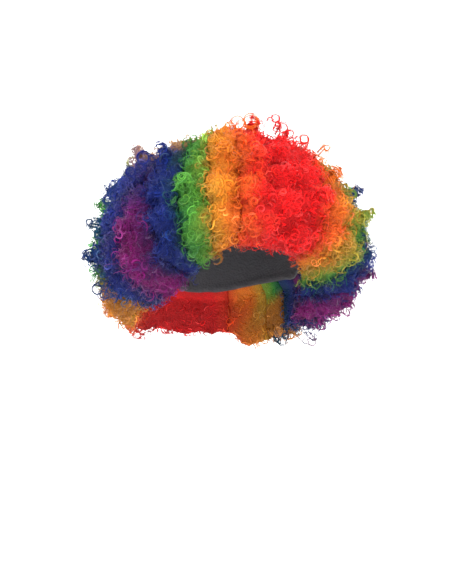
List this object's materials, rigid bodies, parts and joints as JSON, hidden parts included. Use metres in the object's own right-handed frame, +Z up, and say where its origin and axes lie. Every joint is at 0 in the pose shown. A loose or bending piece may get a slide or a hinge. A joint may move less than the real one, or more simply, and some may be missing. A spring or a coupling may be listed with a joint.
{
  "type": "clown wig",
  "caption": "Curly afro clown wig in rainbow bands of red, orange, green, blue and purple ringlets on a stretch cap with a folded hem.",
  "frame": {"origin": "crown of the cap's inner surface, where the top of the wearer's head touches it", "axes": "+Z up, the wearer faces -Y, the wearer's left is +X"},
  "size_m": [0.3412, 0.3214, 0.2959],
  "materials": {
    "cap_net": "matt knitted stretch net",
    "red_hair": "satin synthetic fibre, permed into small curls",
    "orange_hair": "satin synthetic fibre, permed into small curls",
    "green_hair": "satin synthetic fibre, permed into small curls",
    "blue_hair": "satin synthetic fibre, permed into small curls",
    "purple_hair": "satin synthetic fibre, permed into small curls"
  },
  "bodies": {
    "root": {"cap": "cap_net", "hair_red_front": "red_hair", "hair_orange_right": "orange_hair", "hair_orange_left": "orange_hair", "hair_green_right": "green_hair", "hair_green_left": "green_hair", "hair_blue_right": "blue_hair", "hair_blue_left": "blue_hair", "hair_purple_right": "purple_hair", "hair_purple_left": "purple_hair", "hair_blue_rear_right": "blue_hair", "hair_blue_rear_left": "blue_hair", "hair_green_rear_right": "green_hair", "hair_green_rear_left": "green_hair", "hair_orange_rear_right": "orange_hair", "hair_orange_rear_left": "orange_hair", "hair_red_rear": "red_hair"}
  },
  "joints": []
}
